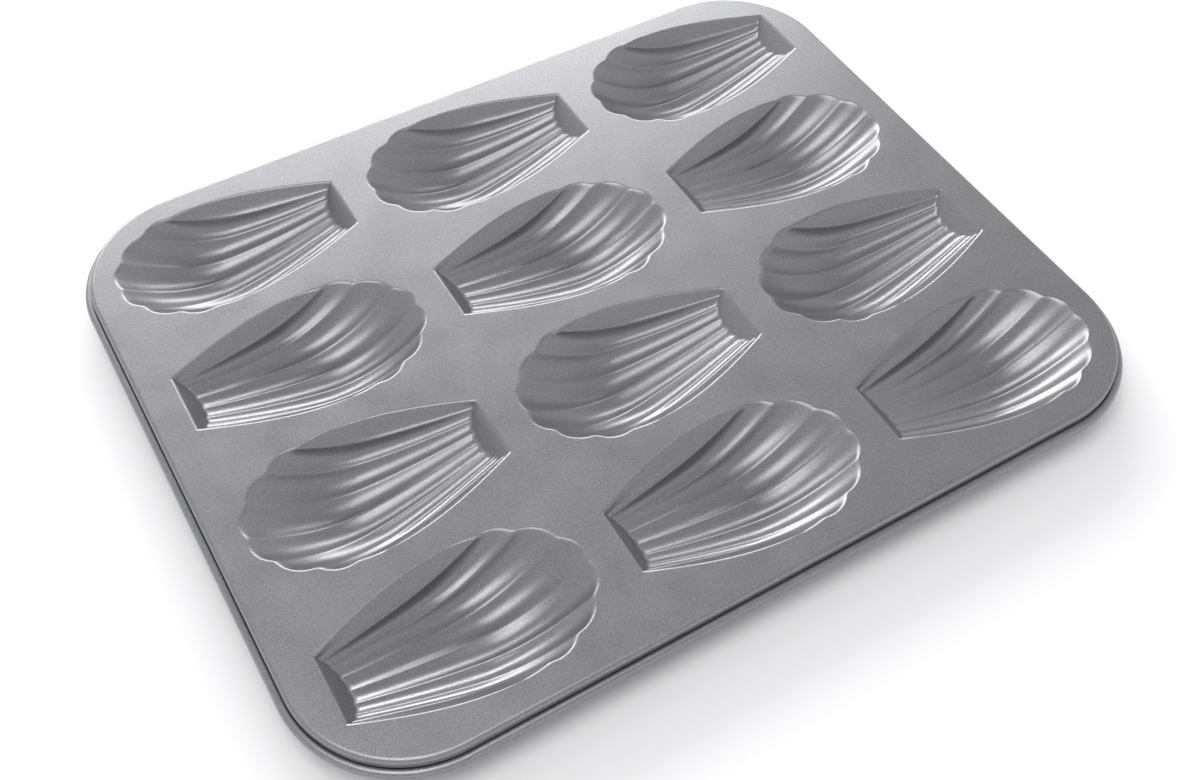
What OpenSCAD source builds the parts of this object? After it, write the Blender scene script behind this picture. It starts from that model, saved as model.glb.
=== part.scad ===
// Twelve-cup madeleine pan.
// One pressed steel sheet: a flat deck with shell-shaped cups sunk in it in four
// alternating rows, and a turned-down rim whose edge is rolled round a steel wire.
// The cups point right in the first and third rows and left in the other two.

/* [Tray] */
// Length over the rolled rim, along the rows
tray_l = 285; // [280:1:320]
// Width over the rolled rim, across the rows
tray_w = 232.5; // [228:0.5:270]
// Corner radius over the rolled rim
corner_r = 39; // [30:1:42]
// Thickness of the sheet
sheet_t = 0.7; // [0.5:0.1:1]

/* [Rim] */
// Radius over the shoulder where the deck turns down
shoulder_r = 1.5; // [1.2:0.1:2.5]
// Drop from the top of the deck to the middle of the rim wire
rim_drop = 4.7; // [4:0.1:7]
// Diameter of the rim wire
wire_d = 1.6; // [1.2:0.1:2.4]
// Clearance between the wire and the sheet rolled round it
wire_gap = 0.05; // [0.02:0.01:0.1]
// Gap between the cut edge of the sheet and the rim wall
seam_gap = 0.25; // [0.15:0.05:0.4]

/* [Cups] */
// Distance between cup centres along a row
column_pitch = 90; // [88:1:96]
// Distance between rows
row_pitch = 54.5; // [53:0.5:60]
// Cup centre to the narrow end, where the end wall meets the deck
narrow_x = 38.6; // [36:0.1:40]
// Half width of the narrow end
narrow_y = 10.9; // [9:0.1:12]
// Cup centre to the tip of the middle ridge at the wide end
tip_x = 39.8; // [37:0.1:41]
// Cup centre to the widest place
widest_x = 6.3; // [3:0.1:10]
// Half width at the widest place
widest_y = 23.2; // [21:0.1:24]
// Depth of the middle ridge below the deck
ridge_depth = 14; // [11:0.1:16]
// Depth of the middle ridge at the foot of the end wall
foot_depth = 5.8; // [4:0.1:8]
// How far the end wall slopes inwards at its foot
foot_run = 4.8; // [3:0.1:6]
// Depth of a flute below its two ridges
flute_depth = 1.1; // [0.6:0.1:1.6]
// How far a lobe of the rim bulges between two ridge tips
lobe_out = 1.2; // [0.6:0.1:1.8]
// Height of the small flat that each cup stands on
foot_flat = 0.2; // [0.1:0.05:0.4]

/* [Hidden] */
$fn = 96;

columns = 3;
rows = 4;
sheet_colour = [0.42, 0.42, 0.45];
wire_colour = [0.62, 0.62, 0.64];

// Rim: the wall's outer face is the datum of the profile
curl_ri = wire_d / 2 + wire_gap;
overhang = 2 * curl_ri + sheet_t;
wall_x = tray_l / 2 - overhang;
wall_y = tray_w / 2 - overhang;
wall_r = corner_r - overhang;
deck_x = wall_x - shoulder_r;
deck_y = wall_y - shoulder_r;
deck_r = wall_r - shoulder_r;

// Cups: v runs across from -1 to 1, u runs from the narrow end to the wide end.
// Each half has four flutes, and ridge tips sit at these angles of the wide end's ellipse.
flutes = 4;
tip_angles = [0, 27, 53, 73, 90];
fullest_u = 0.56;
across_power = 1.25;
along_power = 1.5;
side_power = 1.7;
flute_parts = 4;
along_parts = 8;
half_n = flutes * flute_parts;
across_n = 2 * half_n;
least_scallop = 0.45;

function across(v) = pow(max(0, 1 - v * v), across_power);
function along(u) = u < fullest_u
    ? 1 - (1 - foot_depth / ridge_depth) * pow((fullest_u - u) / fullest_u, along_power)
    : 1 - pow((u - fullest_u) / (1 - fullest_u), 2);
// Place across one flute, from 0 at one ridge to 1 at the next
function in_flute(v) = flutes * abs(v) - min(flutes - 1, floor(flutes * abs(v)));
function hollow(v) = 4 * in_flute(v) * (1 - in_flute(v));
function scallop(u) = (least_scallop + (1 - least_scallop) * min(1, u / fullest_u)) * (1 - pow(u, 4));
function depth(u, v) = ridge_depth * across(v) * along(u) + flute_depth * hollow(v) * scallop(u);

// Rim of the wide end: an ellipse with a lobe between each pair of ridge tips
function tip_angle(v) =
    let (k = min(flutes - 1, floor(flutes * abs(v))))
    tip_angles[k] + (tip_angles[k + 1] - tip_angles[k]) * in_flute(v);
function wide_rim(v) =
    let (a = tip_angle(v), bulge = abs(v) < (flutes - 1) / flutes ? lobe_out * hollow(v) : 0,
         s = v < 0 ? -1 : 1)
    [widest_x + (tip_x - widest_x + bulge) * cos(a), s * (widest_y + bulge) * sin(a)];
function narrow_rim(v) = [-narrow_x, narrow_y * sin(90 * v)];
function foot(v) = narrow_rim(v) + [foot_run * depth(0, v) / foot_depth, 0];
// The long sides bow outwards, and the outermost flute goes with them
function bow(u, v) =
    let (t = max(0, flutes * abs(v) - (flutes - 1)), w = 1 - u)
    sign(v) * t * t * (widest_y - narrow_y) * (w - pow(w, side_power));
function plan(u, v) = foot(v) * (1 - u) + wide_rim(v) * u + [0, bow(u, v)];
function skin(u, v) =
    let (p = plan(u, v))
    [p[0], p[1], -depth(u, v)];

function v_at(j) = j / half_n - 1;
function u_at(i) = i / along_parts;
// Row 0 is the end wall's top edge, and the next rows run from its foot to the wide end
skin_rows = [concat([for (j = [0:across_n]) concat(narrow_rim(v_at(j)), [0])]),
    for (i = [0:along_parts]) [for (j = [0:across_n]) skin(u_at(i), v_at(j))]];
row_n = along_parts + 1;

// The cup's edge as one loop, anticlockwise seen from above, from the narrow end's corner
edge = concat(
    [for (i = [1:row_n]) skin_rows[i][0]],
    [for (j = [1:across_n]) skin_rows[row_n][j]],
    [for (i = [row_n - 1:-1:1]) skin_rows[i][across_n]],
    [for (j = [across_n - 1:-1:1]) skin_rows[0][j]]);
edge_n = len(edge);
function unit(p) = p / norm(p);
function left_of(p) = [p[1], -p[0]];
// The same loop moved outwards by the sheet's thickness, with mitred corners
function edge_out(k) =
    let (a = edge[(k + edge_n - 1) % edge_n], b = edge[k], c = edge[(k + 1) % edge_n],
         n1 = left_of(unit([b[0] - a[0], b[1] - a[1]])),
         n2 = left_of(unit([c[0] - b[0], c[1] - b[1]])),
         m = unit(n1 + n2))
    [b[0], b[1]] + m * sheet_t / (m * n1);
edge_outer = [for (k = [0:edge_n - 1]) edge_out(k)];

// A point of the underside: the skin moved by the thickness along its normal
function normal_at(i, j) =
    let (a = skin_rows[max(1, i - 1)][j], b = skin_rows[min(row_n, i + 1)][j],
         c = skin_rows[i][max(0, j - 1)], d = skin_rows[i][min(across_n, j + 1)])
    unit(cross(d - c, b - a));
function offset_point(i, j) = skin_rows[i][j] + sheet_t * normal_at(i, j);
// The lowest points are cut level, which sets the tray's height
tray_h = -foot_flat - min([for (i = [1:row_n - 1]) for (j = [1:across_n - 1]) offset_point(i, j)[2]]);
function under(i, j) =
    let (p = offset_point(i, j))
    [p[0], p[1], max(p[2], -tray_h)];

// The cup's points: skin, underside of the inner rows, then the two outer edge loops.
// The skin has the top edge of the end wall without its two corners, which row 1 holds.
inner_n = across_n - 1;
cup_points = concat(
    [for (j = [1:inner_n]) skin_rows[0][j]],
    [for (i = [1:row_n]) for (j = [0:across_n]) skin_rows[i][j]],
    [for (i = [1:row_n - 1]) for (j = [1:inner_n]) under(i, j)],
    [for (p = edge_outer) [p[0], p[1], 0]],
    [for (p = edge_outer) [p[0], p[1], -sheet_t]]);
under_start = inner_n + row_n * (across_n + 1);
top_start = under_start + (row_n - 1) * inner_n;
low_start = top_start + edge_n;

function skin_id(i, j) = i == 0 && j > 0 && j < across_n
    ? j - 1
    : inner_n + (max(1, i) - 1) * (across_n + 1) + j;
// Where a point of the edge stands in the edge loop
function edge_id(i, j) =
    j == 0 ? max(1, i) - 1
    : j == across_n ? row_n - 1 + across_n + row_n - max(1, i)
    : i == row_n ? row_n - 1 + j
    : 2 * row_n + 2 * across_n - 2 - j;
function on_edge(i, j) = i == 0 || i == row_n || j == 0 || j == across_n;
function under_id(i, j) = on_edge(i, j)
    ? low_start + edge_id(i, j)
    : under_start + (i - 1) * inner_n + j - 1;
// Two triangles between rows i and i + 1, without the ones whose corners coincide
function cell(a, b, c, d) = [if (a != b && b != c && a != c) [a, b, c], if (a != c && c != d && a != d) [a, c, d]];
function strip(id, flip) = [for (i = [0:row_n - 1]) for (j = [0:across_n - 1])
    let (a = id(i, j), b = id(i, j + 1), c = id(i + 1, j + 1), d = id(i + 1, j))
    for (t = cell(a, b, c, d)) flip ? [t[2], t[1], t[0]] : t];
function band(p, q) = [for (k = [0:edge_n - 1])
    let (m = (k + 1) % edge_n)
    for (t = [[p[k], p[m], q[m]], [p[k], q[m], q[k]]]) t];
edge_skin = concat(
    [for (i = [1:row_n]) skin_id(i, 0)],
    [for (j = [1:across_n]) skin_id(row_n, j)],
    [for (i = [row_n - 1:-1:1]) skin_id(i, across_n)],
    [for (j = [across_n - 1:-1:1]) skin_id(0, j)]);
edge_top = [for (k = [0:edge_n - 1]) top_start + k];
edge_low = [for (k = [0:edge_n - 1]) low_start + k];
cup_faces = concat(
    strip(function(i, j) skin_id(i, j), true),
    strip(function(i, j) under_id(i, j), false),
    band(edge_top, edge_skin),
    band(edge_low, edge_top));

function column_x(c) = (c - (columns - 1) / 2) * column_pitch;
function row_y(r) = ((rows - 1) / 2 - r) * row_pitch;
// Row 0 is the back row: its cups have the narrow end on the right
function turn(r) = r % 2 == 0 ? 180 : 0;

module at_cup(r, c) {
    translate([column_x(c), row_y(r), 0]) rotate([0, 0, turn(r)]) children();
}

module cup(r, c) {
    color(sheet_colour)
        translate([0, 0, tray_h]) at_cup(r, c) polyhedron(cup_points, cup_faces, convexity = 6);
}

module rounded_plate(x, y, r) {
    square([2 * x, 2 * (y - r)], center = true);
    square([2 * (x - r), 2 * y], center = true);
    for (sx = [-1, 1], sy = [-1, 1]) translate([sx * (x - r), sy * (y - r)]) circle(r);
}

module deck() {
    color(sheet_colour)
        translate([0, 0, tray_h - sheet_t]) linear_extrude(sheet_t) difference() {
            rounded_plate(deck_x, deck_y, deck_r);
            for (r = [0:rows - 1], c = [0:columns - 1]) at_cup(r, c) polygon(edge_outer);
        }
}

// Rim profile: x runs outwards from the wall's outer face, y up from the deck's top face
module rim_profile() {
    intersection() {
        translate([-shoulder_r, -shoulder_r]) difference() {
            circle(shoulder_r);
            circle(shoulder_r - sheet_t);
        }
        translate([-shoulder_r, -shoulder_r]) square(shoulder_r);
    }
    translate([-sheet_t, -rim_drop]) square([sheet_t, rim_drop - shoulder_r]);
    difference() {
        translate([curl_ri, -rim_drop]) circle(curl_ri + sheet_t);
        translate([curl_ri, -rim_drop]) circle(curl_ri);
        translate([-2 * sheet_t, -rim_drop]) square([2 * sheet_t + seam_gap, 2 * curl_ri + sheet_t]);
    }
}

// A straight side of the rim at distance out from the middle, turned about the middle
module rim_side(angle, out, half) {
    color(sheet_colour)
        rotate([0, 0, angle]) translate([out, half, tray_h]) rotate([90, 0, 0])
            linear_extrude(2 * half) rim_profile();
}

module at_corner(angle) {
    across_x = angle % 180 == 0 ? wall_x : wall_y;
    across_y = angle % 180 == 0 ? wall_y : wall_x;
    rotate([0, 0, angle]) translate([across_x - wall_r, across_y - wall_r, 0]) children();
}

module rim_corner(angle) {
    color(sheet_colour)
        translate([0, 0, tray_h]) at_corner(angle)
            rotate_extrude(angle = 90) translate([wall_r, 0]) rim_profile();
}

module rim_wire() {
    wire_z = tray_h - rim_drop;
    color(wire_colour) for (angle = [0:90:270]) {
        out = angle % 180 == 0 ? wall_x : wall_y;
        half = (angle % 180 == 0 ? wall_y : wall_x) - wall_r;
        translate([0, 0, wire_z]) rotate([0, 0, angle])
            translate([out + curl_ri, half, 0]) rotate([90, 0, 0]) cylinder(h = 2 * half, d = wire_d);
        translate([0, 0, wire_z]) at_corner(angle)
            rotate_extrude(angle = 90) translate([wall_r + curl_ri, 0]) circle(d = wire_d);
    }
}

deck();
cup(0, 0);  // cup_row1_left
cup(0, 1);  // cup_row1_middle
cup(0, 2);  // cup_row1_right
cup(1, 0);  // cup_row2_left
cup(1, 1);  // cup_row2_middle
cup(1, 2);  // cup_row2_right
cup(2, 0);  // cup_row3_left
cup(2, 1);  // cup_row3_middle
cup(2, 2);  // cup_row3_right
cup(3, 0);  // cup_row4_left
cup(3, 1);  // cup_row4_middle
cup(3, 2);  // cup_row4_right
rim_side(0, wall_x, wall_y - wall_r);  // rim_right
rim_side(90, wall_y, wall_x - wall_r);  // rim_back
rim_side(180, wall_x, wall_y - wall_r);  // rim_left
rim_side(270, wall_y, wall_x - wall_r);  // rim_front
rim_corner(0);  // corner_back_right
rim_corner(90);  // corner_back_left
rim_corner(180);  // corner_front_left
rim_corner(270);  // corner_front_right
rim_wire();
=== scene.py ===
"""A twelve-cup madeleine pan in dark metallic non-stick coating, as the photograph shows it."""

import logging
import math
from collections.abc import Sequence
from dataclasses import dataclass, field
from enum import StrEnum
from typing import ClassVar

import bpy
import numpy as np
from mathutils import Matrix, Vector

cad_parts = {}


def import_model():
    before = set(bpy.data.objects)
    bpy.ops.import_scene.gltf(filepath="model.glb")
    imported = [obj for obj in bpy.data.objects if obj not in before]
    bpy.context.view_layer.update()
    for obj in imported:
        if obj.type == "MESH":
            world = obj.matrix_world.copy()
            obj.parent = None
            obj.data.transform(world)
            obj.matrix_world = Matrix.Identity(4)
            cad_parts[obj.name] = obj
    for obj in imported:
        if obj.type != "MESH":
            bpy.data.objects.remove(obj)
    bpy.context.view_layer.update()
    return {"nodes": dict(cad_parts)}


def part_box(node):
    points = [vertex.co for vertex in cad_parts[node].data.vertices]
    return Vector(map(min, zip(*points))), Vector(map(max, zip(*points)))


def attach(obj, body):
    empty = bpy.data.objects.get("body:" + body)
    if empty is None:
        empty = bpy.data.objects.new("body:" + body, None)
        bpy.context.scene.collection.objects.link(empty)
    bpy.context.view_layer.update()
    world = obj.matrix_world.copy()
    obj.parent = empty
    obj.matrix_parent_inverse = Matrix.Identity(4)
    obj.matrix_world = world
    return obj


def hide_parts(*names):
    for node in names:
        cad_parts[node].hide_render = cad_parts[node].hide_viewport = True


logger = logging.getLogger("madeleine_pan")

MM = 0.001

# Vertices closer than this many decimals of a millimetre are one
WELD_DECIMALS = 5
# Edges that turn by more than this many degrees are shaded sharp
SHARP_TURN = 50.0
# Least and greatest slope in radians that the rounded edge of a cup is worked out for
WALL_SLOPES = (0.35, 1.35)


class Slot(StrEnum):
    """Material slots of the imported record."""

    SHEET = "coated_sheet"
    WIRE = "wire"


@dataclass(frozen=True)
class Tray:
    """Sizes of the deck and rim, in millimetres, with z = 0 at the top of the deck."""

    length: float = 285.0
    width: float = 232.5
    corner_r: float = 39.0
    sheet_t: float = 0.7
    shoulder_r: float = 1.5
    rim_drop: float = 4.7
    wire_d: float = 1.6
    wire_gap: float = 0.05
    seam_gap: float = 0.25
    column_pitch: float = 90.0
    row_pitch: float = 54.5

    @property
    def curl_r(self) -> float:
        """Radius of the inside of the rolled edge."""
        return self.wire_d / 2 + self.wire_gap

    @property
    def overhang(self) -> float:
        """How far the rolled edge stands out from the rim wall."""
        return 2 * self.curl_r + self.sheet_t


@dataclass(frozen=True)
class Surface:
    """Points and faces of a mesh, in millimetres.

    Attributes:
        points: Vertices, shape (n, 3).
        faces: Quads by vertex number, shape (m, 4).
    """

    points: np.ndarray
    faces: np.ndarray

    def placed(self, x: float, y: float, turn: float) -> "Surface":
        """Returns the surface turned about z and moved.

        Args:
            x: Move along x.
            y: Move along y.
            turn: Angle about z in degrees.
        """
        c = math.cos(math.radians(turn))
        s = math.sin(math.radians(turn))
        spin = np.array([[c, s, 0.0], [-s, c, 0.0], [0.0, 0.0, 1.0]])
        return Surface(self.points @ spin + np.array([x, y, 0.0]), self.faces)


def grid_faces(numbers: np.ndarray) -> np.ndarray:
    """Quads between the neighbours of a grid of vertex numbers.

    Args:
        numbers: Vertex numbers, shape (rows, columns).

    Returns:
        Quads, shape (n, 4).
    """
    a = numbers[:-1, :-1]
    b = numbers[1:, :-1]
    c = numbers[1:, 1:]
    d = numbers[:-1, 1:]
    return np.stack([a, b, c, d], axis=-1).reshape(-1, 4)


def vertex_normals(surface: Surface) -> np.ndarray:
    """Unit normals at the vertices of a surface, weighted by area.

    Args:
        surface: The surface.

    Returns:
        Normals, shape (n, 3).
    """
    p = surface.points
    f = surface.faces
    face = np.cross(p[f[:, 2]] - p[f[:, 0]], p[f[:, 3]] - p[f[:, 1]])
    total = np.zeros_like(p)
    for corner in range(4):
        np.add.at(total, f[:, corner], face)
    return total / np.maximum(np.linalg.norm(total, axis=1, keepdims=True), 1e-12)


def welded(surface: Surface) -> Surface:
    """Joins vertices that coincide.

    Args:
        surface: The surface.

    Returns:
        The surface without repeated vertices. A quad may repeat a vertex, which makes it a triangle.
    """
    key = np.round(surface.points, WELD_DECIMALS)
    _, first, inverse = np.unique(key, axis=0, return_index=True, return_inverse=True)
    return Surface(surface.points[first], inverse.reshape(-1)[surface.faces])


def shared_normals(surface: Surface) -> np.ndarray:
    """Unit normals of a surface's vertices, the same for vertices that coincide.

    Args:
        surface: The surface.

    Returns:
        One normal for each vertex, shape (n, 3).
    """
    _, inverse = np.unique(np.round(surface.points, WELD_DECIMALS), axis=0, return_inverse=True)
    return vertex_normals(welded(surface))[inverse.reshape(-1)].copy()


def circular_mean(values: np.ndarray, reach: int) -> np.ndarray:
    """Moving average round a closed loop.

    Args:
        values: One row for each point of the loop.
        reach: How many neighbours on each side count.

    Returns:
        The averaged rows.
    """
    return sum(np.roll(values, shift, axis=0) for shift in range(-reach, reach + 1)) / (2 * reach + 1)


@dataclass(frozen=True)
class CupForm:
    """Shape of one shell cup, in millimetres, with its narrow end at -x.

    v runs across from -1 to 1, and u from the narrow end to the wide end.

    Attributes:
        narrow_x: Cup centre to the narrow end's top edge.
        narrow_y: Half width of the narrow end.
        tip_x: Cup centre to the tip of the middle ridge.
        widest_x: Cup centre to the widest place.
        widest_y: Half width at the widest place.
        ridge_depth: Greatest depth of the middle ridge.
        foot_depth: Depth of the middle ridge at the foot of the end wall.
        foot_run: How far the end wall slopes inwards.
        flute_depth: Depth of a flute below its ridges.
        least_scallop: Share of the flutes' depth that is left at the narrow end.
        lobe_out: Bulge of the wide end's edge between two ridge tips.
        fullest_u: Where the cup is deepest.
        flutes: Flutes in each half.
        crest: Rounding of a ridge, as a share of a flute's width.
        tip_angles: Angles of the ridge tips on the wide end's ellipse, in degrees.
        across_power: Shape of the bed's section across.
        along_power: Shape of the bed between the narrow end and the deepest place.
        fade_power: How late the flutes flatten towards the wide end.
        side_power: Shape of the long sides in plan.
    """

    narrow_x: float = 38.6
    narrow_y: float = 10.9
    tip_x: float = 39.8
    widest_x: float = 6.3
    widest_y: float = 23.2
    ridge_depth: float = 14.0
    foot_depth: float = 5.8
    foot_run: float = 4.8
    flute_depth: float = 1.15
    least_scallop: float = 0.45
    lobe_out: float = 1.2
    fullest_u: float = 0.56
    flutes: int = 4
    crest: float = 0.05
    tip_angles: tuple[float, ...] = (0.0, 27.0, 53.0, 73.0, 90.0)
    across_power: float = 1.25
    along_power: float = 1.5
    fade_power: float = 4.0
    side_power: float = 1.7

    def in_flute(self, v: np.ndarray) -> tuple[np.ndarray, np.ndarray]:
        """Returns which flute of its half v is in, and the place across it from 0 to 1."""
        scaled = self.flutes * np.abs(v)
        number = np.minimum(self.flutes - 1, np.floor(scaled)).astype(int)
        return number, scaled - number

    def hollow(self, v: np.ndarray) -> np.ndarray:
        """Returns the flute's section: 0 on a ridge, 1 in the middle, with slightly rounded ridges."""
        _, place = self.in_flute(v)
        side = np.sqrt(np.minimum(place, 1 - place) ** 2 + self.crest**2)
        least = 4 * self.crest * (1 - self.crest)
        return (4 * side * (1 - side) - least) / (1 - least)

    def depth(self, u: np.ndarray, v: np.ndarray) -> np.ndarray:
        """Returns the depth below the deck."""
        before = np.maximum(0, self.fullest_u - u) / self.fullest_u
        after = np.maximum(0, u - self.fullest_u) / (1 - self.fullest_u)
        along = 1 - (1 - self.foot_depth / self.ridge_depth) * before**self.along_power - after**2
        across = np.maximum(0, 1 - v * v) ** self.across_power
        fade = np.minimum(1, u / self.fullest_u)
        scallop = (self.least_scallop + (1 - self.least_scallop) * fade) * (1 - u**self.fade_power)
        return self.ridge_depth * across * along + self.flute_depth * self.hollow(v) * scallop

    def narrow_rim(self, v: np.ndarray) -> np.ndarray:
        """Returns points of the narrow end's top edge."""
        return np.stack([np.full_like(v, -self.narrow_x), self.narrow_y * np.sin(v * math.pi / 2)], axis=-1)

    def wide_rim(self, v: np.ndarray) -> np.ndarray:
        """Returns points of the lobed edge at the wide end."""
        number, place = self.in_flute(v)
        tips = np.radians(np.array(self.tip_angles))
        angle = tips[number] + (tips[number + 1] - tips[number]) * place
        bulge = np.where(number < self.flutes - 1, self.lobe_out * self.hollow(v), 0.0)
        x = self.widest_x + (self.tip_x - self.widest_x + bulge) * np.cos(angle)
        y = np.where(v < 0, -1.0, 1.0) * (self.widest_y + bulge) * np.sin(angle)
        return np.stack([x, y], axis=-1)

    def plan(self, u: np.ndarray, v: np.ndarray) -> np.ndarray:
        """Returns the place in plan."""
        start = self.narrow_rim(v)
        start[..., 0] += self.foot_run * self.depth(np.zeros_like(v), v) / self.foot_depth
        outer = np.maximum(0, self.flutes * np.abs(v) - (self.flutes - 1))
        rest = 1 - u
        bow = np.sign(v) * outer**2 * (self.widest_y - self.narrow_y) * (rest - rest**self.side_power)
        place = start * rest[..., None] + self.wide_rim(v) * u[..., None]
        place[..., 1] += bow
        return place


@dataclass(frozen=True)
class CupBuilder:
    """Makes the pressed sheet of one cup, with a rounded edge and a narrow flat flange round it.

    Attributes:
        form: The cup's shape.
        sheet_t: Thickness of the sheet.
        round_r: Radius where the deck turns into the cup.
        flange: Distances of the flange's rows from the cup's edge.
        along_n: Segments along the cup.
        across_n: Segments across the cup.
        wall_n: Segments down the end wall.
        side_crowding: Share of the rows that is crowded towards the long sides.
        end_crowding: Power that crowds the rows towards the wide end when it is below 1.
    """

    form: CupForm
    sheet_t: float
    round_r: float = 1.4
    flange: tuple[float, ...] = (0.2, 0.4, 0.6, 0.8, 1.0, 1.3, 1.8)
    along_n: int = 80
    across_n: int = 160
    wall_n: int = 14
    side_crowding: float = 0.25
    end_crowding: float = 0.94

    def skin(self) -> np.ndarray:
        """Returns the cup's upper face as rows of points, from the end wall's top edge to the wide end."""
        even = np.linspace(-1, 1, self.across_n + 1)
        crowded = np.sin(even * math.pi / 2) * self.side_crowding
        rest = 1 - self.side_crowding
        v = crowded + np.linspace(-rest, rest, self.across_n + 1)
        u = np.linspace(0, 1, self.along_n + 1) ** self.end_crowding
        uu, vv = np.meshgrid(u, v, indexing="ij")
        bed = np.concatenate([self.form.plan(uu, vv), -self.form.depth(uu, vv)[..., None]], axis=-1)
        top = np.concatenate([self.form.narrow_rim(v), np.zeros((v.size, 1))], axis=-1)
        down = np.linspace(0, 1, self.wall_n, endpoint=False)[:, None, None]
        return np.concatenate([top * (1 - down) + bed[0] * down, bed])

    def loop_numbers(self, numbers: np.ndarray) -> tuple[np.ndarray, np.ndarray]:
        """Finds the edge loop and, for each of its points, the neighbour inside the cup.

        Args:
            numbers: Vertex numbers of the skin's grid.

        Returns:
            The loop's vertex numbers, anticlockwise, and those of the inside neighbours.
        """
        side = numbers[self.wall_n :]
        loop = [side[:-1, 0], side[-1, :-1], side[::-1, -1][:-1], numbers[0, ::-1][:-1]]
        inside = [side[:-1, 1], side[-2, :-1], side[::-1, -2][:-1], numbers[1, ::-1][:-1]]
        return np.concatenate(loop), np.concatenate(inside)

    def upper(self) -> tuple[Surface, np.ndarray]:
        """Builds the upper face with its flange.

        Returns:
            The upper face and the vertex numbers of its outer loop.
        """
        skin = self.skin()
        numbers = np.arange(skin.shape[0] * skin.shape[1]).reshape(skin.shape[:2])
        points = skin.reshape(-1, 3)
        loop, inside = self.loop_numbers(numbers)
        edge = points[loop]
        run = np.roll(edge, -1, axis=0) - np.roll(edge, 1, axis=0)
        run /= np.linalg.norm(run, axis=1, keepdims=True)
        out = circular_mean(np.stack([run[:, 1], -run[:, 0], np.zeros(len(run))], axis=1), 3)
        out /= np.linalg.norm(out, axis=1, keepdims=True)
        wall = points[inside] - edge
        wall -= run * np.sum(wall * run, axis=1, keepdims=True)
        wall = circular_mean(wall / np.maximum(np.linalg.norm(wall, axis=1, keepdims=True), 1e-9), 2)
        wall /= np.linalg.norm(wall, axis=1, keepdims=True)
        slope = np.arctan2(-wall[:, 2], -np.sum(wall * out, axis=1))
        reach = circular_mean(self.round_r * np.tan(np.clip(slope, *WALL_SLOPES) / 2), 3)
        rounded = self.rounded(points, edge, out, wall, reach)
        rows = [self.bent(edge, out, wall, reach, np.full(len(loop), -away)) for away in self.flange]
        start = len(points) + np.arange(len(loop))
        rings = [loop] + [start + ring * len(loop) for ring in range(len(self.flange))]
        closed = np.stack([np.append(ring, ring[0]) for ring in rings])
        faces = np.concatenate([grid_faces(numbers), grid_faces(closed)])
        return Surface(np.concatenate([rounded, *rows]), faces), rings[-1]

    @staticmethod
    def bent(
        edge: np.ndarray, out: np.ndarray, wall: np.ndarray, reach: np.ndarray, along: np.ndarray
    ) -> np.ndarray:
        """Places points on the rounded turn from deck to wall.

        Args:
            edge: Where the sharp edge would be.
            out: Direction outwards along the deck.
            wall: Direction down the wall.
            reach: Length of deck and of wall that the turn takes up.
            along: Distance of the point from the edge, negative on the deck.

        Returns:
            The points.
        """
        part = np.clip((along + reach) / (2 * reach), 0, 1)[:, None]
        turn = edge + reach[:, None] * ((1 - part) ** 2 * out + part**2 * wall)
        straight = edge - out * np.minimum(along, 0)[:, None] + wall * np.maximum(along, 0)[:, None]
        return np.where((np.abs(along) < reach)[:, None], turn, straight)

    def rounded(
        self, points: np.ndarray, edge: np.ndarray, out: np.ndarray, wall: np.ndarray, reach: np.ndarray
    ) -> np.ndarray:
        """Rounds the cup's own points near its edge.

        Args:
            points: The cup's points.
            edge: The edge loop.
            out: Direction outwards along the deck at each point of the loop.
            wall: Direction down the wall at each point of the loop.
            reach: Length that the turn takes up at each point of the loop.

        Returns:
            The points, with those near the edge moved on to the turn.
        """
        gap = np.linalg.norm(points[:, None, :] - edge[None, :, :], axis=2)
        nearest = np.argmin(gap, axis=1)
        away = gap[np.arange(len(points)), nearest]
        towards = (points - edge[nearest]) / np.maximum(away, 1e-9)[:, None]
        towards = np.where((away < 1e-6)[:, None], wall[nearest], towards)
        bent = self.bent(edge[nearest], out[nearest], towards, reach[nearest], away)
        return np.where((away < reach[nearest])[:, None], bent, points)

    def build(self) -> tuple[Surface, np.ndarray]:
        """Builds the cup as a closed sheet.

        Returns:
            The closed surface and the points of the flange's outer loop.
        """
        upper, outer = self.upper()
        count = len(upper.points)
        normals = shared_normals(upper)
        normals[outer] = (0.0, 0.0, 1.0)
        lower = upper.points - self.sheet_t * normals
        closed = np.append(outer, outer[0])
        band = grid_faces(np.stack([closed, closed + count]))
        faces = np.concatenate([upper.faces, upper.faces[:, ::-1] + count, band])
        return Surface(np.concatenate([upper.points, lower]), faces), upper.points[outer]


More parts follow.
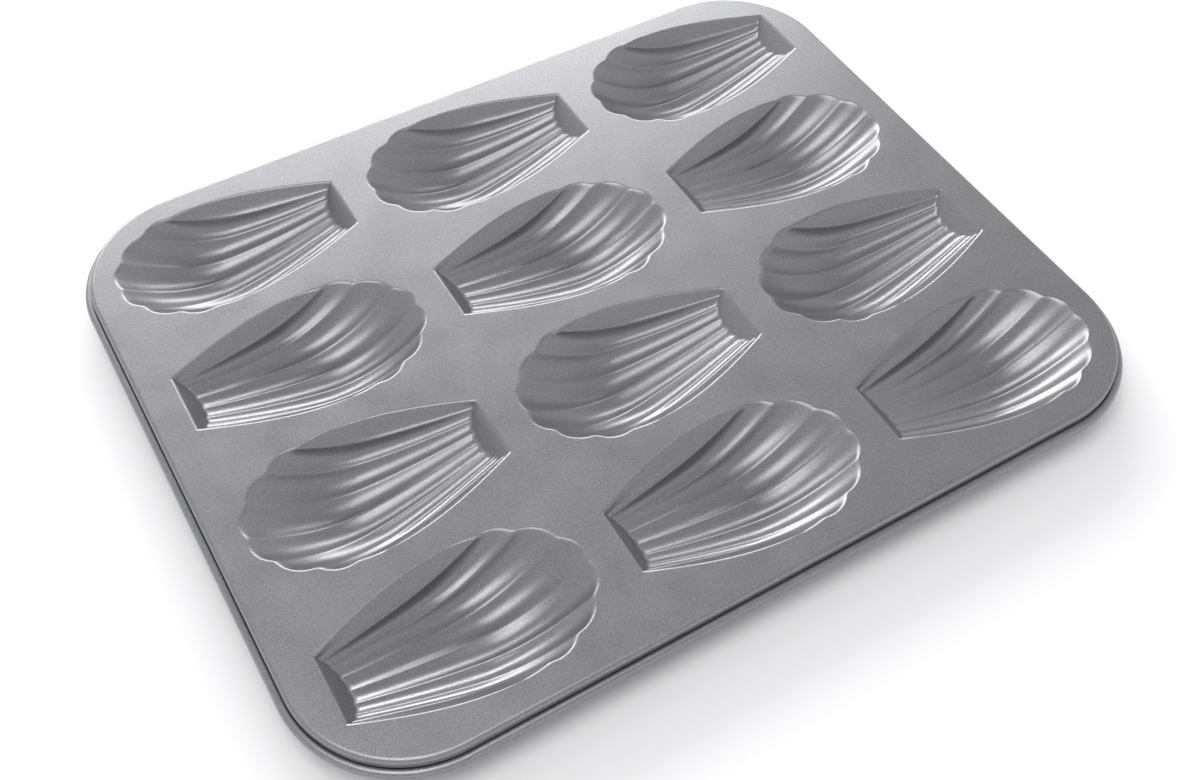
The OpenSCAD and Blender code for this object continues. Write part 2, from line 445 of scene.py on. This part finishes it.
@dataclass(frozen=True)
class RimPath:
    """The outline of the rim wall's outer face, as points with outward directions.

    Attributes:
        points: Places in plan, shape (n, 2).
        out: Unit directions outwards, shape (n, 2).
    """

    points: np.ndarray
    out: np.ndarray

    @classmethod
    def rounded_rectangle(cls, half_x: float, half_y: float, radius: float, turn_n: int = 40) -> "RimPath":
        """Makes the path of a rounded rectangle, anticlockwise.

        Args:
            half_x: Half its length.
            half_y: Half its width.
            radius: Its corner radius.
            turn_n: Segments in each corner.

        Returns:
            The path.
        """
        angle = np.concatenate([np.linspace(q, q + 1, turn_n + 1) for q in range(4)]) * math.pi / 2
        sx = np.repeat([1.0, -1.0, -1.0, 1.0], turn_n + 1)
        sy = np.repeat([1.0, 1.0, -1.0, -1.0], turn_n + 1)
        out = np.stack([np.cos(angle), np.sin(angle)], axis=1)
        centre = np.stack([sx * (half_x - radius), sy * (half_y - radius)], axis=1)
        return cls(centre + radius * out, out)

    def sweep(self, section: np.ndarray) -> Surface:
        """Sweeps a closed section round the path.

        Args:
            section: Points (outwards, up), anticlockwise, shape (n, 2).

        Returns:
            The closed surface.
        """
        flat = self.points[:, None, :] + self.out[:, None, :] * section[None, :, :1]
        up = np.broadcast_to(section[None, :, 1:], (*flat.shape[:2], 1))
        points = np.concatenate([flat, up], axis=2).reshape(-1, 3)
        numbers = np.arange(len(points)).reshape(flat.shape[:2])
        numbers = np.concatenate([numbers, numbers[:1]])
        numbers = np.concatenate([numbers, numbers[:, :1]], axis=1)
        return Surface(points, grid_faces(numbers))


def arc(x: float, y: float, radius: float, start: float, end: float, count: int) -> np.ndarray:
    """Points on an arc.

    Args:
        x: Centre's first coordinate.
        y: Centre's second coordinate.
        radius: Radius.
        start: First angle in degrees.
        end: Last angle in degrees.
        count: Number of segments.

    Returns:
        The points, shape (count + 1, 2).
    """
    angle = np.radians(np.linspace(start, end, count + 1))
    return np.stack([x + radius * np.cos(angle), y + radius * np.sin(angle)], axis=1)


def rim_section(tray: Tray) -> np.ndarray:
    """Section of the turned-down rim and rolled edge, outwards from the wall's outer face.

    Args:
        tray: The tray's sizes.

    Returns:
        The closed section, anticlockwise.
    """
    r = tray.shoulder_r
    inner = tray.curl_r
    outer = inner + tray.sheet_t
    cut_in = math.degrees(math.acos((tray.seam_gap - inner) / inner))
    cut_out = math.degrees(math.acos((tray.seam_gap - inner) / outer))
    face = [
        arc(-r, -r, r, 90, 0, 12),
        arc(inner, -tray.rim_drop, inner, 180, 360 + cut_in, 40),
        arc(inner, -tray.rim_drop, outer, 360 + cut_out, 180, 40),
        arc(-r, -r, r - tray.sheet_t, 0, 90, 12),
    ]
    return np.concatenate(face)[::-1]


class Finish:
    """A procedural surface material."""

    def __init__(self, name: str) -> None:
        self.material = bpy.data.materials.new(name)
        self.material.use_nodes = True
        self.tree = self.material.node_tree
        self.shader = self.tree.nodes["Principled BSDF"]

    def node(self, kind: str, **inputs: float) -> bpy.types.Node:
        """Adds a node.

        Args:
            kind: The node's type.
            **inputs: Values of its inputs, with the spaces in their names written as underscores.

        Returns:
            The node.
        """
        made = self.tree.nodes.new(kind)
        for key, value in inputs.items():
            made.inputs[key.replace("_", " ")].default_value = value
        return made

    def link(self, source: bpy.types.NodeSocket, target: bpy.types.NodeSocket) -> None:
        """Joins two sockets."""
        self.tree.links.new(source, target)

    def noise(self, scale: float, detail: float) -> bpy.types.NodeSocket:
        """Adds a noise pattern fixed to the object.

        Args:
            scale: Repeats in a metre.
            detail: Layers of finer noise.

        Returns:
            The pattern's value.
        """
        place = self.node("ShaderNodeTexCoord")
        made = self.node("ShaderNodeTexNoise", Scale=scale, Detail=detail)
        self.link(place.outputs["Object"], made.inputs["Vector"])
        return made.outputs["Fac"]

    def ramp(self, value: bpy.types.NodeSocket, low: float, high: float) -> bpy.types.NodeSocket:
        """Maps the middle of a noise pattern's values to a range.

        Args:
            value: The pattern's value.
            low: Result for a low value.
            high: Result for a high value.

        Returns:
            The result.
        """
        made = self.node("ShaderNodeMapRange", From_Min=0.3, From_Max=0.7, To_Min=low, To_Max=high)
        self.link(value, made.inputs["Value"])
        return made.outputs["Result"]


class CoatedSheet(Finish):
    """Dark grey metallic non-stick coating with a fine grain."""

    def __init__(self) -> None:
        super().__init__("coated_sheet")
        grain = self.noise(2600.0, 3.0)
        mottle = self.noise(60.0, 2.0)
        shade = self.node("ShaderNodeMixRGB")
        self.link(self.ramp(grain, 0.0, 1.0), shade.inputs["Fac"])
        shade.inputs[1].default_value = (0.215, 0.215, 0.225, 1.0)
        shade.inputs[2].default_value = (0.33, 0.33, 0.345, 1.0)
        self.link(shade.outputs["Color"], self.shader.inputs["Base Color"])
        self.link(self.ramp(mottle, 0.33, 0.40), self.shader.inputs["Roughness"])
        self.shader.inputs["Metallic"].default_value = 0.85
        bump = self.node("ShaderNodeBump", Strength=0.22, Distance=0.00006)
        self.link(grain, bump.inputs["Height"])
        self.link(bump.outputs["Normal"], self.shader.inputs["Normal"])


class DrawnWire(Finish):
    """Plain drawn steel wire."""

    def __init__(self) -> None:
        super().__init__("wire")
        self.shader.inputs["Base Color"].default_value = (0.5, 0.5, 0.51, 1.0)
        self.shader.inputs["Metallic"].default_value = 1.0
        self.link(self.ramp(self.noise(900.0, 2.0), 0.3, 0.45), self.shader.inputs["Roughness"])


class PaleFloor(Finish):
    """White studio floor."""

    def __init__(self) -> None:
        super().__init__("floor")
        self.shader.inputs["Base Color"].default_value = (0.9, 0.9, 0.9, 1.0)
        self.shader.inputs["Roughness"].default_value = 0.9
        self.shader.inputs["Specular IOR Level"].default_value = 0.0


def mesh_object(name: str, surface: Surface, material: bpy.types.Material, lift: float) -> bpy.types.Object:
    """Makes a smooth-shaded mesh object in the scene.

    Args:
        name: Its name.
        surface: Its surface in millimetres, with z = 0 at the deck's top.
        material: Its material.
        lift: Height of the deck's top in millimetres.

    Returns:
        The object.
    """
    joined = welded(surface)
    points = (joined.points + np.array([0.0, 0.0, lift])) * MM
    keep = [list(dict.fromkeys(face)) for face in joined.faces.tolist()]
    mesh = bpy.data.meshes.new(name)
    mesh.from_pydata(points.tolist(), [], [face for face in keep if len(face) > 2])
    mesh.validate()
    mesh.shade_smooth()
    mesh.set_sharp_from_angle(angle=math.radians(SHARP_TURN))
    mesh.materials.append(material)
    made = bpy.data.objects.new(name, mesh)
    bpy.context.scene.collection.objects.link(made)
    return made


@dataclass
class Pan:
    """Builds the pan's pieces on the CAD nodes that they replace.

    Attributes:
        tray: Sizes of the deck and rim.
        form: Shape of the cups.
        deck_z: Height of the deck's top in millimetres.
    """

    tray: Tray
    form: CupForm
    deck_z: float
    hole_loops: list[np.ndarray] = field(default_factory=list)

    ROWS: ClassVar[tuple[str, ...]] = ("row1", "row2", "row3", "row4")
    COLUMNS: ClassVar[tuple[str, ...]] = ("left", "middle", "right")
    SIDES: ClassVar[tuple[str, ...]] = ("right", "back", "left", "front")
    CORNERS: ClassVar[tuple[str, ...]] = ("back_right", "back_left", "front_left", "front_right")

    @staticmethod
    def tie(piece: bpy.types.Object, slot: Slot, nodes: Sequence[str]) -> None:
        """Ties a piece to the frame.

        Args:
            piece: The piece.
            slot: Its material slot. Not used.
            nodes: The CAD nodes it stands for.
        """
        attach(piece, "root")
        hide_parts(*nodes)

    def cups(self, coated: bpy.types.Material) -> None:
        """Makes the twelve cups and notes the outlines of their flanges.

        Args:
            coated: Material of the sheet.
        """
        cup, outline = CupBuilder(self.form, self.tray.sheet_t).build()
        for row, row_name in enumerate(self.ROWS):
            y = ((len(self.ROWS) - 1) / 2 - row) * self.tray.row_pitch
            turn = 180.0 if row % 2 == 0 else 0.0
            for column, column_name in enumerate(self.COLUMNS):
                x = (column - 1) * self.tray.column_pitch
                name = f"cup_{row_name}_{column_name}"
                piece = mesh_object(f"shell_{name}", cup.placed(x, y, turn), coated, self.deck_z)
                self.tie(piece, Slot.SHEET, [name])
                loop = Surface(outline, np.zeros((0, 4), int)).placed(x, y, turn)
                self.hole_loops.append(loop.points[:, :2])

    def deck(self, coated: bpy.types.Material) -> None:
        """Makes the flat deck with the holes that the cups' flanges fill.

        Args:
            coated: Material of the sheet.
        """
        path = self.path(-self.tray.shoulder_r)
        curve = bpy.data.curves.new("deck", "CURVE")
        curve.dimensions = "2D"
        curve.fill_mode = "BOTH"
        curve.extrude = self.tray.sheet_t * MM / 2
        for loop in [path, *self.hole_loops]:
            spline = curve.splines.new("POLY")
            spline.points.add(len(loop) - 1)
            corners = np.concatenate([loop * MM, np.zeros((len(loop), 1)), np.ones((len(loop), 1))], axis=1)
            spline.points.foreach_set("co", corners.reshape(-1))
            spline.use_cyclic_u = True
        holder = bpy.data.objects.new("deck_outline", curve)
        bpy.context.scene.collection.objects.link(holder)
        bpy.context.view_layer.update()
        mesh = bpy.data.meshes.new_from_object(holder.evaluated_get(bpy.context.evaluated_depsgraph_get()))
        bpy.data.objects.remove(holder)
        mesh.transform(Matrix.Translation((0.0, 0.0, (self.deck_z - self.tray.sheet_t / 2) * MM)))
        mesh.materials.clear()
        mesh.materials.append(coated)
        piece = bpy.data.objects.new("pressed_deck", mesh)
        bpy.context.scene.collection.objects.link(piece)
        self.tie(piece, Slot.SHEET, ["deck"])

    def path(self, out: float) -> np.ndarray:
        """Moves the rim wall's outline outwards.

        Args:
            out: Distance in millimetres.

        Returns:
            The outline in plan, shape (n, 2).
        """
        rim = self.rim_path()
        return rim.points + rim.out * out

    def rim_path(self) -> RimPath:
        """Returns the outline of the rim wall's outer face."""
        over = self.tray.overhang
        return RimPath.rounded_rectangle(
            self.tray.length / 2 - over, self.tray.width / 2 - over, self.tray.corner_r - over
        )

    def rim(self, coated: bpy.types.Material, steel: bpy.types.Material) -> None:
        """Makes the turned-down rim and the wire inside its rolled edge.

        Args:
            coated: Material of the sheet.
            steel: Material of the wire.
        """
        path = self.rim_path()
        rolled = mesh_object("rolled_rim", path.sweep(rim_section(self.tray)), coated, self.deck_z)
        nodes = [f"rim_{side}" for side in self.SIDES] + [f"corner_{corner}" for corner in self.CORNERS]
        self.tie(rolled, Slot.SHEET, nodes)
        ring = arc(self.tray.curl_r, -self.tray.rim_drop, self.tray.wire_d / 2, 0, 337.5, 15)
        wire = mesh_object("edge_wire", path.sweep(ring), steel, self.deck_z)
        self.tie(wire, Slot.WIRE, ["rim_wire"])


@dataclass(frozen=True)
class Studio:
    """White surroundings, soft lamps and the photograph's camera.

    Attributes:
        deck_z: Height of the deck's top in millimetres.
        floor_size: Side of the floor in metres.
        lens: Focal length in millimetres, on a sensor 36 mm wide.
        eye: Camera's place in millimetres, from the centre of the deck's top.
        right: Camera's direction to the right.
        up: Camera's upward direction.
    """

    deck_z: float
    floor_size: float = 6.0
    lens: float = 41.946
    eye: tuple[float, float, float] = (-148.8, -255.2, 341.2)
    right: tuple[float, float, float] = (0.8625, -0.5060, 0.0027)
    up: tuple[float, float, float] = (0.4014, 0.6875, 0.6051)

    def floor(self) -> None:
        """Lays a pale floor under the pan."""
        bpy.ops.mesh.primitive_plane_add(size=self.floor_size, location=(0.0, 0.0, 0.0))
        floor = bpy.context.object
        floor.name = "studio_floor"
        floor.data.materials.append(PaleFloor().material)

    def world(self) -> None:
        """Sets surroundings that are white to the camera and brightest low down for everything else."""
        world = bpy.data.worlds.new("studio")
        world.use_nodes = True
        bpy.context.scene.world = world
        tree = world.node_tree
        tree.nodes.clear()
        place = tree.nodes.new("ShaderNodeTexCoord")
        split = tree.nodes.new("ShaderNodeSeparateXYZ")
        ramp = tree.nodes.new("ShaderNodeValToRGB")
        ramp.color_ramp.elements[0].position = 0.0
        ramp.color_ramp.elements[0].color = (1.0, 1.0, 1.0, 1.0)
        ramp.color_ramp.elements[1].position = 1.0
        ramp.color_ramp.elements[1].color = (0.34, 0.34, 0.35, 1.0)
        middle = ramp.color_ramp.elements.new(0.55)
        middle.color = (0.75, 0.75, 0.77, 1.0)
        path = tree.nodes.new("ShaderNodeLightPath")
        mix = tree.nodes.new("ShaderNodeMixRGB")
        mix.inputs[2].default_value = (1.0, 1.0, 1.0, 1.0)
        back = tree.nodes.new("ShaderNodeBackground")
        out = tree.nodes.new("ShaderNodeOutputWorld")
        tree.links.new(place.outputs["Generated"], split.inputs["Vector"])
        tree.links.new(split.outputs["Z"], ramp.inputs["Fac"])
        tree.links.new(ramp.outputs["Color"], mix.inputs[1])
        tree.links.new(path.outputs["Is Camera Ray"], mix.inputs["Fac"])
        tree.links.new(mix.outputs["Color"], back.inputs["Color"])
        tree.links.new(back.outputs["Background"], out.inputs["Surface"])

    def lamp(
        self, name: str, place: tuple[float, float, float], size: tuple[float, float], power: float
    ) -> None:
        """Adds a soft rectangular lamp that faces the pan.

        Args:
            name: Its name.
            place: Its position in metres.
            size: Its two sides in metres.
            power: Its power in watts.
        """
        light = bpy.data.lights.new(name, "AREA")
        light.shape = "RECTANGLE"
        light.size, light.size_y = size
        light.energy = power
        made = bpy.data.objects.new(name, light)
        back = np.array(place) / np.linalg.norm(place)
        side = np.cross((0.0, 0.0, 1.0), back)
        side /= np.linalg.norm(side)
        turn = np.stack([side, np.cross(back, side), back], axis=1)
        made.matrix_world = Matrix.Translation(place) @ Matrix(turn.tolist()).to_4x4()
        bpy.context.scene.collection.objects.link(made)

    def camera(self) -> None:
        """Places the camera that was fitted to the photograph."""
        data = bpy.data.cameras.new("photo")
        data.sensor_fit = "HORIZONTAL"
        data.sensor_width = 36.0
        data.lens = self.lens
        made = bpy.data.objects.new("photo", data)
        right = np.array(self.right)
        right /= np.linalg.norm(right)
        up = np.array(self.up)
        up -= right * (up @ right)
        up /= np.linalg.norm(up)
        axes = Matrix(np.stack([right, up, np.cross(right, up)], axis=1).tolist())
        place = (np.array(self.eye) + np.array([0.0, 0.0, self.deck_z])) * MM
        made.matrix_world = Matrix.Translation(place) @ axes.to_4x4()
        bpy.context.scene.collection.objects.link(made)
        bpy.context.scene.camera = made

    def build(self) -> None:
        """Sets up floor, surroundings, lamps and camera."""
        self.floor()
        self.world()
        self.lamp("back_key", (0.35, 1.6, 0.75), (1.8, 0.6), 26.0)
        self.lamp("overhead", (-0.4, -0.2, 1.8), (1.2, 1.2), 14.0)
        self.camera()
        bpy.context.scene.view_settings.view_transform = "Standard"


def main() -> None:
    """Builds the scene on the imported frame."""
    logging.basicConfig(level=logging.INFO)
    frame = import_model()
    logger.info("nodes: %d", len(frame["nodes"]))
    deck_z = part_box("deck")[1][2] / MM
    coated = CoatedSheet().material
    steel = DrawnWire().material
    pan = Pan(Tray(), CupForm(), deck_z)
    pan.cups(coated)
    pan.deck(coated)
    pan.rim(coated, steel)
    Studio(deck_z).build()


if __name__ == "__main__":
    main()
